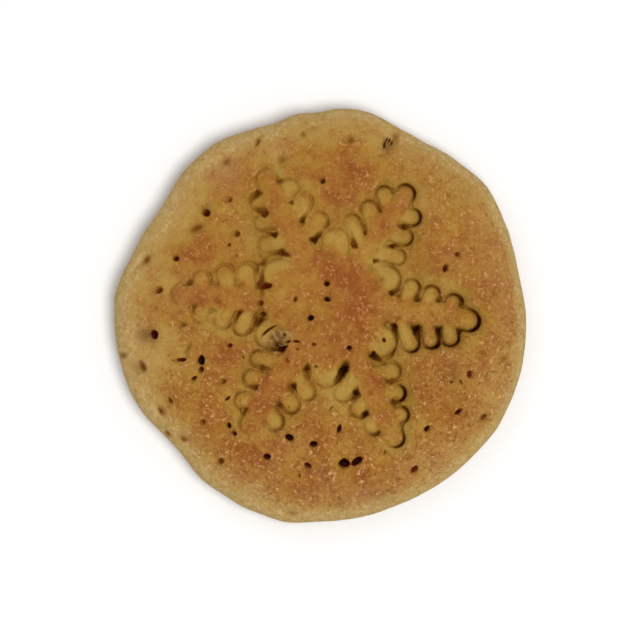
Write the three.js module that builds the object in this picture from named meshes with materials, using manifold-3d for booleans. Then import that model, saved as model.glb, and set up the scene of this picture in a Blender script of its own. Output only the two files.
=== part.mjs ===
// A date-filled cookie: a round of short dough closed over date paste, pressed with a six-armed
// stamp, pricked all over and baked. It is uncut, so it is one solid.
// Millimetres, +Z up, the flat baked base on z = 0, the origin under the middle of the outline.
import * as THREE from "three";
import { mergeVertices } from "three/addons/utils/BufferGeometryUtils.js";
import Module from "manifold-3d";

// ---- The round ----
const RADIUS = 40.4; // mean radius of the outline
const HEIGHT = 13.4; // base to the middle of the crown
const GIRTH_Z = 5.0; // height at which the round is widest
const FOOT = 0.9; // radius of the flat base, as a share of the outline
const CROWN_POWER = 4.6; // higher makes the top flatter and the shoulder sharper
const CROWN_LEAN = { power: 1.0, bearing: 15 }; // the shoulder is sharper on this side, softer opposite

// Flats (minus) and bulges (plus) of the hand-shaped outline: [bearing, half-width in degrees, depth].
const EDGE = [
  [146, 15, -2.8],
  [110, 12, -1.6],
  [103, 5, -0.5],
  [127, 5, -0.5],
  [163, 7, -0.9],
  [221, 13, -2.1],
  [241, 7, -0.6],
  [194, 10, -0.3],
  [12, 9, -0.7],
  [38, 8, 0.8],
  [62, 8, -0.8],
  [79, 7, 0.6],
  [92, 5, -0.4],
  [260, 6, 0.6],
  [288, 18, -0.3],
  [330, 15, 0.7],
];

// Broad swells and hollows of the crown: [x, y, half-width, height].
const SWELLS = [
  [-27, 20, 7, -0.5],
  [-33, -8, 6, -0.5],
  [14, 35, 3.5, -1.2],
  [3, 30, 8, 0.35],
  [8, -33, 8, 0.3],
  [27, 8, 7, 0.3],
  [-24, -20, 7, 0.3],
  [-12, 8, 5, -0.3],
];

// ---- The stamp ----
// A thin wall follows the outline of a snowflake: a hub, six rounded tabs and six oak-leaf arms.
const STAMP_AT = [1.2, 1.2]; // middle of the stamp
const HUB_RADIUS = 11.6;
const POCKET_RADIUS = 14; // inside this radius the gaps between tabs and arms are pressed in whole
const WALL = 0.7; // width of the groove that the wall leaves
const BITE = 1.5; // depth of that groove
const BITE_LEAN = { depth: 0.6, bearing: -40 }; // pressed deeper on this side, shallower opposite
const NECK_END = 13.5; // how far along an arm its neck meets its spine
// Each arm, in its own along and aside: the neck and the spine are an offset and a half-width, the
// tip is a middle and a radius, and a lobe is the place of its root on the spine's middle line, its
// end's middle and its end's radius. Aside is positive on the left, looking outward.
const ARMS = [
  {
    bearing: -3.4,
    neck: [1.05, 2.75],
    spine: [0.4, 2.5],
    tip: [27.6, -0.4, 1.9],
    left: [[14.7, 16.2, 5.3, 1.5], [18.7, 20.2, 4.2, 1.45], [23.6, 24.4, 2.9, 1.4]],
    right: [[13.6, 17, -5.6, 1.4], [19.6, 20.3, -4.6, 1.4], [23.5, 24.4, -4, 1.4]],
  },
  {
    bearing: 57,
    neck: [-0.05, 2.35],
    spine: [-0.45, 2.15],
    tip: [27.1, -0.6, 1.75],
    left: [[14, 17, 5, 1.5], [18, 21, 3.7, 1.55], [23.2, 25, 2.8, 1.55]],
    right: [[14.1, 16.2, -6.1, 1.55], [18.5, 20.1, -5, 1.5], [23.3, 24.3, -4.2, 1.5]],
  },
  {
    bearing: 115,
    neck: [-0.45, 2.35],
    spine: [-0.15, 2.45],
    tip: [28, -0.2, 1.85],
    left: [[15.2, 16.8, 5.2, 1.5], [19.4, 20.7, 4.2, 1.45], [24.1, 24.9, 3.2, 1.45]],
    right: [[14.7, 16.9, -6.1, 1.6], [18.5, 21.3, -4.7, 1.55], [23.8, 25, -3.4, 1.6]],
  },
  {
    bearing: 175.5,
    neck: [-0.7, 2.4],
    spine: [-0.8, 2.4],
    tip: [28.3, -0.9, 1.9],
    left: [[14.4, 16.1, 4.5, 1.55], [18.9, 20.1, 3.4, 1.5], [23.7, 24.5, 2.5, 1.5]],
    right: [[14.8, 16.1, -6, 1.6], [19, 20.2, -5.4, 1.6], [23.8, 24.6, -3.9, 1.6]],
  },
  {
    bearing: 236.5,
    neck: [0.05, 2.65],
    spine: [-0.3, 2.5],
    tip: [26.7, -0.2, 1.85],
    left: [[13, 15.4, 5.5, 1.6], [17.2, 19.1, 4.4, 1.55], [21.6, 23.6, 3.6, 1.55]],
    right: [[12.9, 15.2, -5.7, 1.5], [17.2, 19, -4.7, 1.55], [22.1, 23.6, -3.7, 1.55]],
  },
  {
    bearing: 297.5,
    neck: [1.15, 2.25],
    spine: [0.65, 2.35],
    tip: [28.1, 0.3, 1.75],
    left: [[14.8, 16.5, 5.7, 1.6], [19.4, 20.6, 4.6, 1.5], [24, 24.7, 3.3, 1.45]],
    right: [[12.9, 15.8, -4.6, 1.6], [18.7, 19.9, -3.3, 1.55], [23.5, 24.2, -2.4, 1.5]],
  },
];
// Each tab: its bearing, its reach and its end radius.
const TABS = [
  [27, 15.6, 2.7],
  [82, 15.8, 2.6],
  [143.5, 14.5, 3],
  [203, 14.7, 2.8],
  [270, 14.8, 3],
  [330, 15.2, 2.9],
];

// ---- Pricks ----
// Each prick: [x, y, length, width, turn in degrees, depth].
const PRICKS = [
  [-22.2, 20.1, 1.7, 1.5, 0, 2.1],
  [-17.7, 22.6, 1.2, 1.1, 0, 0.9],
  [-16.3, 16, 1.5, 1.4, 0, 1],
  [-28, 11.2, 1.2, 1.1, 0, 1.6],
  [-31.4, 5, 1.3, 1.1, 30, 1.1],
  [0.5, 26.2, 1.1, 0.9, 60, 1.6],
  [26.8, 11.9, 1, 0.9, 0, 0.9],
  [24.3, 9.3, 1.5, 0.9, 75, 1.6],
  [1.3, 6.4, 1.2, 1.1, 0, 1.9],
  [1.5, 3.3, 1.3, 1, -20, 1.9],
  [-1.9, -0.4, 1.2, 1.1, 0, 2.1],
  [5.7, -6.2, 1, 0.9, 0, 1.6],
  [-32.4, -3.6, 1.8, 1.5, -60, 1.8],
  [-34.9, -10, 2.2, 1.5, -60, 0.7],
  [-27.2, -8.5, 1.9, 0.7, 5, 1.4],
  [-23.1, -8.6, 2, 1.5, 90, 2.1],
  [-23.1, -10.4, 1.2, 1, 90, 1.8],
  [-11.4, 2.5, 1.3, 0.9, 90, 1],
  [-11.2, 0.4, 1.2, 1, 0, 1.4],
  [-24.4, -12.1, 1.4, 0.7, 30, 1.4],
  [-18.8, -12.7, 1.3, 0.9, 40, 1],
  [-29.2, -16.4, 1.7, 0.9, -45, 0.7],
  [-22.8, -20.6, 1.2, 1, 0, 1],
  [-17.7, -21.3, 1.2, 0.8, -70, 1.6],
  [-16.7, -22.8, 1.2, 0.9, -40, 1.6],
  [-19.4, -28.5, 1.7, 1.3, 70, 1.1],
  [-10.3, -27.4, 1.4, 1.2, 0, 1.9],
  [-5.9, -23.7, 1.6, 1.2, -25, 2.1],
  [-1.2, -24.9, 1.5, 1.1, 0, 2.1],
  [-2.4, -29.1, 1.5, 1.1, -40, 1.6],
  [3.7, -22, 1.7, 0.8, 72, 1.6],
  [4.6, -28.8, 2.1, 1.9, 0, 2.4],
  [7.1, -28.3, 2.4, 1.2, 40, 2.1],
  [18.3, -29.9, 1.9, 1.1, 50, 1.1],
  [20.8, -21.9, 1.5, 0.9, 40, 1.6],
  [26.8, -18.7, 1.9, 0.9, 38, 1.3],
  [29.1, -11.4, 1.4, 1, 90, 1],
  [32, -20, 1.9, 1.2, 45, 0.7],
];
const PRICK_TAPER = 0.6; // width at the bottom of a prick, as a share of its mouth

// ---- Breaks in the dough ----
// A tab that tore open over the filling, and a crease at the shoulder: [x, y, length, width, turn, depth].
const BREAKS = [
  [-8.3, -4.9, 5.6, 3.4, -28, 1.7],
  [13.2, 34.0, 3.4, 2.4, 62, 1.3],
];

// ---- How finely the faces are cut ----
const SECTORS = 64;
const CROWN_STEPS = [0, 4, 12, 23, 35, 48, 61, 75, 90]; // degrees from the crown to the girth
const SIDE_STEPS = 4;
const HUB_SECTORS = 48;
const ARC_STEPS = 4;
const PRICK_SIDES = 6;
const CLEARANCE = 2; // how far a cutter stands out of the crown
const CUTTER_HEIGHT = HEIGHT + CLEARANCE;

const radians = THREE.MathUtils.degToRad;
const wasm = await Module();
wasm.setup();

// Shortest turn from one bearing to another, in degrees.
const turnTo = (from, to) => THREE.MathUtils.euclideanModulo(to - from + 180, 360) - 180;

const bump = (distance, halfWidth) => Math.exp(-((distance / halfWidth) ** 2));

function outlineRadius(theta) {
  const bearing = THREE.MathUtils.radToDeg(theta);
  const shift = ([at, wide, deep]) => deep * bump(turnTo(at, bearing), wide);
  return EDGE.reduce((sum, row) => sum + shift(row), RADIUS);
}

function crownPower(theta) {
  return CROWN_POWER + CROWN_LEAN.power * Math.cos(theta - radians(CROWN_LEAN.bearing));
}

function swell(x, y) {
  const lift = ([atX, atY, wide, high]) => high * bump(Math.hypot(x - atX, y - atY), wide);
  return SWELLS.reduce((sum, row) => sum + lift(row), 0);
}

// Height of the crown over a point of the plan, with no stamp or pricks in it.
function crownHeight(x, y) {
  const theta = Math.atan2(y, x);
  const share = Math.min(1, Math.hypot(x, y) / outlineRadius(theta));
  const rise = Math.sqrt(1 - share ** crownPower(theta));
  return GIRTH_Z + (HEIGHT - GIRTH_Z + swell(x, y)) * rise;
}

// A closed geometry as a solid that can be joined and cut.
function solid(geometry) {
  const bare = geometry.clone();
  bare.deleteAttribute("normal");
  bare.deleteAttribute("uv");
  const merged = mergeVertices(bare);
  return new wasm.Manifold(
    new wasm.Mesh({
      numProp: 3,
      vertProperties: merged.attributes.position.array,
      triVerts: new Uint32Array(merged.index.array),
    }),
  );
}

function geometryOf(body) {
  const mesh = body.getMesh();
  const geometry = new THREE.BufferGeometry();
  geometry.setAttribute("position", new THREE.BufferAttribute(mesh.vertProperties, 3));
  geometry.setIndex(new THREE.BufferAttribute(mesh.triVerts, 1));
  const faceted = geometry.toNonIndexed();
  faceted.computeVertexNormals();
  return faceted;
}

// The plain round: a turned profile whose points are then moved out to the uneven outline and crown.
function roundOfDough() {
  const profile = [new THREE.Vector2(0, 0)];
  for (let i = 0; i <= SIDE_STEPS; i++) {
    const angle = (i / SIDE_STEPS) * (Math.PI / 2);
    profile.push(new THREE.Vector2(FOOT + (1 - FOOT) * Math.sin(angle), GIRTH_Z * (1 - Math.cos(angle))));
  }
  for (const step of CROWN_STEPS.slice(0, -1).reverse()) {
    profile.push(new THREE.Vector2(Math.sin(radians(step)) ** (2 / CROWN_POWER), HEIGHT));
  }
  const geometry = new THREE.LatheGeometry(profile, SECTORS).rotateX(Math.PI / 2);
  const points = geometry.attributes.position;
  for (let i = 0; i < points.count; i++) {
    const theta = Math.atan2(points.getY(i), points.getX(i));
    const reach = outlineRadius(theta);
    const x = points.getX(i) * reach;
    const y = points.getY(i) * reach;
    const onCrown = points.getZ(i) > GIRTH_Z;
    points.setXYZ(i, x, y, onCrown ? crownHeight(x, y) : points.getZ(i));
  }
  return solid(geometry);
}

// An upright bar with round ends, tapered from one point of the plan to another.
function bar(from, to, fromRadius, toRadius) {
  const along = new THREE.Vector2().subVectors(to, from);
  const heading = Math.atan2(along.y, along.x);
  const spread = Math.acos((fromRadius - toRadius) / along.length());
  const shape = new THREE.Shape();
  shape.absarc(to.x, to.y, toRadius, heading - spread, heading + spread, false);
  shape.absarc(from.x, from.y, fromRadius, heading + spread, heading - spread + 2 * Math.PI, false);
  shape.closePath();
  const options = { depth: CUTTER_HEIGHT, bevelEnabled: false, curveSegments: ARC_STEPS };
  return solid(new THREE.ExtrudeGeometry(shape, options));
}

// The snowflake filled in, each of its bars widened by grow, with a hub of the given radius.
function snowflake(grow, hubRadius) {
  const middle = new THREE.Vector2(...STAMP_AT);
  const place = (bearing, along, aside) =>
    new THREE.Vector2(along, aside).rotateAround(new THREE.Vector2(), radians(bearing)).add(middle);
  const bars = [];
  for (const { bearing, neck, spine, tip, left, right } of ARMS) {
    const at = (along, aside) => place(bearing, along, aside);
    const addBar = (from, to, fromRadius, toRadius) =>
      bars.push(bar(from, to, fromRadius + grow, toRadius + grow));
    const [neckOffset, neckHalf] = neck;
    const [spineOffset, spineHalf] = spine;
    const [tipAlong, tipAside, tipRadius] = tip;
    const lastRoot = at(left.at(-1)[0], spineOffset);
    addBar(at(0, neckOffset), at(NECK_END, neckOffset), neckHalf, neckHalf);
    addBar(at(NECK_END, spineOffset), lastRoot, spineHalf, spineHalf);
    addBar(lastRoot, at(tipAlong, tipAside), spineHalf, tipRadius);
    for (const [root, along, aside, radius] of [...left, ...right]) {
      addBar(at(root, spineOffset), at(along, aside), radius, radius);
    }
  }
  for (const [bearing, reach, radius] of TABS) {
    bars.push(bar(middle, place(bearing, reach - radius, 0), radius + grow, radius + grow));
  }
  const hub = new THREE.CylinderGeometry(hubRadius, hubRadius, CUTTER_HEIGHT, HUB_SECTORS);
  hub.rotateX(Math.PI / 2).translate(middle.x, middle.y, CUTTER_HEIGHT / 2);
  return wasm.Manifold.union([...bars, solid(hub)]);
}

// The round sunk by the depth of the stamp's bite, tipped so that one side is bitten deeper.
function groundUnderStamp(dough) {
  const tip = Math.atan(BITE_LEAN.depth / RADIUS);
  const bearing = radians(BITE_LEAN.bearing);
  const axis = new THREE.Vector3(-Math.sin(bearing), Math.cos(bearing), 0);
  const place = new THREE.Matrix4().makeRotationAxis(axis, tip).setPosition(0, 0, -BITE);
  return dough.transform(place.elements);
}

function prick([x, y, long, wide, turn, deep]) {
  const geometry = new THREE.CylinderGeometry(1, PRICK_TAPER, deep + CLEARANCE, PRICK_SIDES);
  geometry.rotateX(Math.PI / 2).scale(long / 2, wide / 2, 1).rotateZ(radians(turn));
  return solid(geometry.translate(x, y, crownHeight(x, y) - deep / 2 + CLEARANCE / 2));
}

function hollow([x, y, long, wide, turn, deep]) {
  const geometry = new THREE.SphereGeometry(1, 12, 6).scale(long / 2, wide / 2, deep);
  return solid(geometry.rotateZ(radians(turn)).translate(x, y, crownHeight(x, y)));
}

function cookieSolid() {
  const dough = roundOfDough();
  const wall = snowflake(WALL, POCKET_RADIUS).subtract(snowflake(0, HUB_RADIUS));
  const groove = wall.subtract(groundUnderStamp(dough));
  return dough.subtract(wasm.Manifold.union([groove, ...PRICKS.map(prick), ...BREAKS.map(hollow)]));
}

const crust = new THREE.MeshStandardMaterial({ color: 0xb8803f, roughness: 0.6, metalness: 0 });
const cookie = new THREE.Mesh(geometryOf(cookieSolid()), crust);
cookie.name = "cookie";
cookie.geometry.computeBoundingBox();
const middle = cookie.geometry.boundingBox.getCenter(new THREE.Vector3());
cookie.position.set(-middle.x, -middle.y, 0);

const part = new THREE.Group();
part.add(cookie);

export default part;
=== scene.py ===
"""A date-filled cookie: short dough closed over date paste, stamped, pricked, baked and browned.

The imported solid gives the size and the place. The dough is one closed mesh: a fine sheet of
triangles laid over the crown and the side, closer where the stamp and the pricks need it, and a
plain sheet under the base. The tables are millimetres in the plan of the solid's own source.
"""

import math
from functools import reduce
from itertools import product

import bpy
import numpy as np
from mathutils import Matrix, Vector
from mathutils.geometry import delaunay_2d_cdt


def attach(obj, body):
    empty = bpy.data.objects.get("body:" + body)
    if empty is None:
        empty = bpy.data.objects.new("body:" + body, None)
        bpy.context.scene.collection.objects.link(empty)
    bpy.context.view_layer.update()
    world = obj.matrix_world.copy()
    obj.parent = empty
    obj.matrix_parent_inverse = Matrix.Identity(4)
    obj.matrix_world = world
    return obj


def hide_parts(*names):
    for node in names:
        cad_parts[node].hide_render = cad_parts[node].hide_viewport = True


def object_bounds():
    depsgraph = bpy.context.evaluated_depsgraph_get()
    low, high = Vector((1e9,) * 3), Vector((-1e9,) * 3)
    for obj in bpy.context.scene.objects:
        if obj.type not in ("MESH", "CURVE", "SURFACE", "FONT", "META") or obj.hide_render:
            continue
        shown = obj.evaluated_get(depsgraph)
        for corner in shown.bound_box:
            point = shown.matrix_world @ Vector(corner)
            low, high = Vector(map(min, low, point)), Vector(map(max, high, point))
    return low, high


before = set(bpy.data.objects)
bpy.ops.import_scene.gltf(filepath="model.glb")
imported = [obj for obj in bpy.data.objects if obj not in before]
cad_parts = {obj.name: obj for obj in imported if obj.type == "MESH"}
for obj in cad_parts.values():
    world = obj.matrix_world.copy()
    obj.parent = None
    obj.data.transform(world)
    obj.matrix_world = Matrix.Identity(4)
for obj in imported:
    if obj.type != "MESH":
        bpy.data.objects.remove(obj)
cad_low, cad_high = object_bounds()

# ---- The round, as in the solid ----
RADIUS = 40.4
HEIGHT = 13.4
GIRTH_Z = 5.0
FOOT = 0.9
CROWN_POWER = 4.6
CROWN_LEAN = 1.0
CROWN_BEARING = 15

# Flats (minus) and bulges (plus) of the outline: bearing, half-width in degrees, depth.
EDGE = [
    (146, 15, -2.8), (110, 12, -1.6), (103, 5, -0.5), (127, 5, -0.5), (163, 7, -0.9), (221, 13, -2.1),
    (241, 7, -0.6), (194, 10, -0.3), (12, 9, -0.7), (38, 8, 0.8), (62, 8, -0.8), (79, 7, 0.6), (92, 5, -0.4),
    (260, 6, 0.6), (288, 18, -0.3), (330, 15, 0.7),
]

# Broad swells and hollows of the crown: x, y, half-width, height.
SWELLS = [
    (-27, 20, 7, -0.5), (-33, -8, 6, -0.5), (14, 35, 3.5, -1.2), (3, 30, 8, 0.35), (8, -33, 8, 0.3),
    (27, 8, 7, 0.3), (-24, -20, 7, 0.3), (-12, 8, 5, -0.3),
]

# ---- The stamp: a snowflake of six arms round a hub ----
STAMP_X = 1.2
STAMP_Y = 1.2
HUB_RADIUS = 11.6
NECK_END = 13.5  # how far along an arm its neck meets its spine
LOBE_WAIST = 0.12  # how much slimmer a lobe is at its root
# Each arm: its bearing, then in its own along and aside the neck and the spine as an offset and
# a half-width, the tip as a middle and a radius, and the lobes on its left and on its right. A
# lobe is its root's place on the spine's middle line, its end's middle and its end's radius.
# Aside is positive on the left, looking outward. Some lobes are finer than the solid's.
ARMS = [
    (
        -3.4, (1.05, 2.75), (0.4, 2.5), (27.6, -0.4, 1.9),
        [(14.7, 16.2, 5.3, 1.5), (18.5, 20.2, 4.2, 1.5), (23.6, 24.4, 2.9, 1.4)],
        [(13.5, 16.7, -5.5, 1.55), (19.6, 20.5, -4.6, 1.45), (23.5, 24.4, -4, 1.45)],
    ),
    (
        57, (-0.05, 2.35), (-0.45, 2.15), (27.1, -0.6, 1.75),
        [(13.6, 16.9, 5, 1.5), (17.6, 20.9, 3.6, 1.6), (22.9, 24.9, 2.75, 1.5)],
        [(13.8, 16.1, -5.95, 1.45), (18.5, 20.1, -5, 1.5), (23.1, 24.1, -4.2, 1.5)],
    ),
    (
        115, (-0.45, 2.35), (-0.15, 2.45), (28, -0.2, 1.85),
        [(15, 16.4, 5.1, 1.5), (19.2, 20.6, 4.2, 1.35), (23.9, 24.5, 3.1, 1.4)],
        [(14.4, 16.2, -6.1, 1.5), (18.1, 20.8, -4.8, 1.5), (23.4, 24.5, -3.5, 1.55)],
    ),
    (
        175.5, (-0.7, 2.4), (-0.8, 2.4), (28.3, -0.9, 1.9),
        [(14.4, 16.1, 4.5, 1.55), (18.6, 19.9, 3.4, 1.6), (23.6, 24.4, 2.6, 1.5)],
        [(14.8, 16.1, -6, 1.6), (19, 20.2, -5.4, 1.6), (23.8, 24.6, -3.9, 1.6)],
    ),
    (
        236.5, (0.05, 2.65), (-0.3, 2.5), (26.7, -0.2, 1.85),
        [(13, 15.4, 5.5, 1.6), (17.2, 19.1, 4.4, 1.55), (21.6, 23.6, 3.6, 1.55)],
        [(12.9, 15.2, -5.7, 1.5), (17.2, 19, -4.7, 1.55), (22.1, 23.6, -3.7, 1.55)],
    ),
    (
        297.5, (1.15, 2.25), (0.65, 2.35), (28.1, 0.3, 1.75),
        [(14.8, 16.5, 5.7, 1.6), (19.4, 20.6, 4.6, 1.5), (24, 24.7, 3.3, 1.45)],
        [(12.9, 15.8, -4.6, 1.6), (18.7, 19.9, -3.3, 1.55), (23.5, 24.2, -2.4, 1.5)],
    ),
]
# Each tab between two arms: bearing, reach, end radius.
TABS = [
    (27, 15.6, 2.7), (82, 15.8, 2.6), (143.5, 14.5, 3), (203, 14.7, 2.8), (270, 14.8, 3), (330, 15.2, 2.9),
]

# ---- Pricks ----
# x, y, length, width, turn in degrees, depth and how dark: painted shade down the prick, with the paste's
# own dark at the bottom of the darkest. Most are as in the solid, some are turned or sized differently, and
# the last is only here.
PRICKS = [
    (-22.2, 20.1, 1.7, 1.5, 0, 2.1, 0.7), (-17.7, 22.6, 1.2, 1.1, 0, 0.9, 0.4),
    (-16.3, 16, 1.5, 1.4, 0, 1, 0.5), (-28, 11.2, 1.2, 1.1, 0, 1.6, 0.7),
    (-31.4, 5, 1.6, 1.3, 30, 1.1, 0.56), (0.5, 26.2, 1.1, 0.9, 60, 1.6, 0.55),
    (26.8, 11.9, 1.2, 1.1, 0, 1, 0.55), (24.3, 9.3, 1.5, 0.9, 75, 1.6, 0.62),
    (1.3, 6.4, 1.2, 1.1, 0, 1.9, 0.8), (1.5, 3.3, 1.3, 1, -20, 1.9, 0.78),
    (-1.9, -0.4, 1.2, 1.1, 0, 2.1, 0.95), (5.7, -6.2, 1, 0.9, 0, 1.6, 0.8),
    (-32.4, -3.6, 1.8, 1.5, -60, 1.8, 0.85), (-34.9, -9.9, 2.7, 1.9, -62, 1.1, 0.4),
    (-27, -8.5, 2.1, 0.7, 5, 1.4, 0.72), (-23.1, -8.6, 2, 1.3, 90, 2.1, 1),
    (-23.1, -10.4, 1.2, 1, 90, 1.8, 0.6), (-11.55, 2.5, 1.4, 1.1, 80, 1.1, 0.6),
    (-11.2, 0.4, 1.2, 1, 0, 1.4, 0.65), (-24.4, -12.1, 1.4, 0.7, 30, 1.4, 0.68),
    (-18.8, -12.7, 1.3, 0.9, 40, 1, 0.45), (-29.2, -16.4, 1.7, 0.9, -45, 0.9, 0.48),
    (-22.8, -20.6, 1.2, 1, 0, 1, 0.45), (-17.7, -21.3, 1.2, 0.8, -70, 1.6, 0.82),
    (-16.7, -22.8, 1.2, 0.9, -40, 1.6, 0.7), (-19.4, -28.5, 1.7, 1.3, 70, 1.1, 0.5),
    (-10.3, -27.4, 1.4, 1.2, 0, 1.9, 0.9), (-5.9, -23.7, 1.6, 1.2, -25, 2.1, 0.92),
    (-1.2, -24.9, 1.5, 1.1, 0, 2.1, 0.92), (-2.4, -29.1, 1.5, 1.1, -40, 1.6, 0.72),
    (3.7, -22, 1.7, 0.8, 72, 1.6, 0.78), (4.6, -28.8, 2.1, 1.9, 0, 2.4, 1),
    (7.1, -28.3, 2.4, 1.2, 40, 2.1, 0.92), (18.4, -29.9, 2, 1.2, 50, 1.2, 0.68),
    (20.8, -21.9, 1.5, 0.9, 40, 1.6, 0.85), (26.9, -18.7, 2, 0.9, 38, 1.4, 0.75),
    (29.2, -11.4, 1.6, 1.2, 90, 1.1, 0.62), (32, -20, 2, 1.3, 45, 0.8, 0.46),
    (-10.75, 5.75, 2.6, 1.2, 8, 1.5, 0.74),
]

# ---- What the solid leaves to this script ----
# Slits and small cuts: x, y, length, width, turn, depth, bow of the middle.
CUTS = [
    (-9.8, -3.05, 4.6, 0.5, 37, 1.3, 0.42), (-6.1, -5, 1.1, 0.42, 25, 1.5, 0),
    (-6.9, -3.65, 0.6, 0.5, 0, 0.9, 0), (-9.3, -4.15, 1.2, 0.6, 40, 0.5, 0),
    (-4.55, -5.1, 1.7, 0.5, -6, 1.4, 0.2), (-4.35, -6.45, 0.8, 0.6, -20, 0.7, 0),
    (-6.4, -8.6, 1.3, 0.6, -50, 0.6, 0), (12.5, 33.3, 1.8, 0.45, 80, 1.3, 0),
    (13, 34.2, 1.4, 0.34, 72, 1.4, 0), (13.5, 34.2, 1.2, 0.34, 70, 1.3, 0),
    (13.95, 33.7, 1.3, 0.5, 75, 1, 0), (-34.3, -9.9, 1.9, 0.5, -66, 0.9, 0),
    (-28.4, -8.6, 1.5, 0.4, 0, 0.7, 0), (-25.9, -8.1, 1.1, 0.4, 25, 0.6, 0),
    (-17.9, -16, 1.5, 0.6, 40, 1.2, 0), (2.3, -18, 2, 0.4, 48, 0.8, 0.2), (-4.8, 3.2, 1.5, 0.9, 75, 1, 0),
    (-0.8, -9.8, 0.9, 0.7, 0, 0.9, 0), (-1.2, -5.5, 1, 0.8, 0, 1, 0), (12.4, -4.7, 1, 0.7, -70, 1.3, 0),
    (-17.4, -5.7, 1.1, 0.9, 0, 1.3, 0), (-17.6, 13.8, 0.9, 0.6, 60, 1, 0),
    (-16.2, 11.7, 0.5, 0.5, 0, 0.7, 0), (12.6, -26.5, 1.1, 0.6, 70, 0.7, 0), (-4, -31, 1.2, 0.4, 80, 0.8, 0),
    (27.3, -12.8, 1.3, 0.5, -60, 0.8, 0), (25.5, -12.8, 0.9, 0.6, 10, 0.9, 0),
    (-14.9, -8, 0.8, 0.5, -60, 0.8, 0), (-6.1, -17.7, 0.5, 0.5, 0, 0.6, 0),
]

# Soft dents, darkened with painted shade that is shifted towards the lower right: x, y, length, width, turn,
# depth.
DENTS = [
    (-34.5, -3.9, 4.4, 3, -10, 0.25), (-35.6, 9.7, 2.2, 1.2, 50, 0.35), (-28.1, 8.7, 1.7, 1, 0, 0.35),
    (-25.8, -6.2, 3.6, 1.2, 62, 0.5), (-26.6, -1.6, 2, 1, 20, 0.6), (-31.1, -18.3, 2.2, 1.3, -55, 0.75),
    (-19.9, 2.9, 1, 0.8, 0, 0.5), (14.8, -0.5, 1.7, 0.7, 45, 0.5), (-26.8, -23.8, 2, 1.2, -30, 0.7),
    (-29.9, -22.8, 1.8, 1, -50, 0.65), (-34, 11.1, 2.8, 1.6, 50, 0.65), (-24.2, 17.4, 3.2, 1.9, 25, 0.65),
    (-18.5, 30.2, 2.6, 1.8, 40, 0.55), (-12.2, 34, 2.2, 0.9, 65, 0.75), (-7.7, 30.6, 2.6, 2, 80, 0.5),
    (-3.4, 35.4, 1.4, 1.2, 70, 0.6), (-1.5, 36.7, 2.4, 1.2, 20, 0.35), (5.8, 34.4, 1.8, 1.3, 30, 0.65),
    (15.9, 29.2, 2, 0.8, 70, 0.4), (12.6, 26.2, 2.2, 1.8, 40, 0.4), (33.8, 4.4, 2.2, 1.8, 0, 0.4),
    (35.7, -8, 1.8, 1.4, 0, 0.5), (-13, -34.2, 4.2, 3, 20, 0.2), (-8.6, -36.2, 1.6, 1, 30, 0.3),
    (-5.5, -38.3, 2.6, 1.4, 0, 0.45), (3.5, -36.4, 2.6, 1.8, 0, 0.45), (11.8, 7.2, 1.2, 0.9, 0, 0.5),
    (2.3, 11.8, 2.2, 1.2, 20, 0.4), (-38.6, -7.5, 2, 1.6, 0, 0.6), (13.1, 33.6, 3, 2.4, 60, 0.4),
    (14.5, 35, 3.8, 2, 70, 0.5), (11.9, 31.3, 1.4, 1, -20, 0.4), (17, -27.4, 2.6, 1.4, 40, 0.4),
    (9.8, -14.8, 1.6, 0.8, 60, 0.4), (31.7, -19.9, 2.6, 1.5, 45, 0.4),
]

PRICK_SLANT = 0.22  # how far inward of its middle a prick is deepest and its painted shade darkest, as a share of its width
PRICK_DRAG = 0.45  # how far outward of it lies the dent beside it, as a share of its length
PRICK_STRAY = 0.7  # how far both stray from the way to the cookie's middle, in radians
PRICK_WALL = (1.35, 0.35)  # where it begins and is deepest, in its half-sizes
PRICK_SLOPE = 0.4  # share of its depth lost on its outward side
PRICK_DIP = 0.16  # how far the dough round it dips
PRICK_DENT = 0.3  # depth of the dent beside it as a share of its own
# how dark the painted shade in the dent beside a prick is
PRICK_DENT_SHADE = 0.22
DENT_MOST = 1.2  # the depth that this share is taken of at most
CUT_WALL = (1.2, 0.2)
CUT_FULL_SHADE_DEPTH = 1.8  # depth of a cut whose painted shade is darkest
DENT_DEPTH = 1.4  # of a soft dent of depth 1 in its row
DENT_SHADOW_SHIFT = 0.15  # how far off its middle, towards the lower right, its painted shadow is darkest, as a share of its width
# how dark the painted shade in a dent is
DENT_SHADE = 0.7
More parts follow.
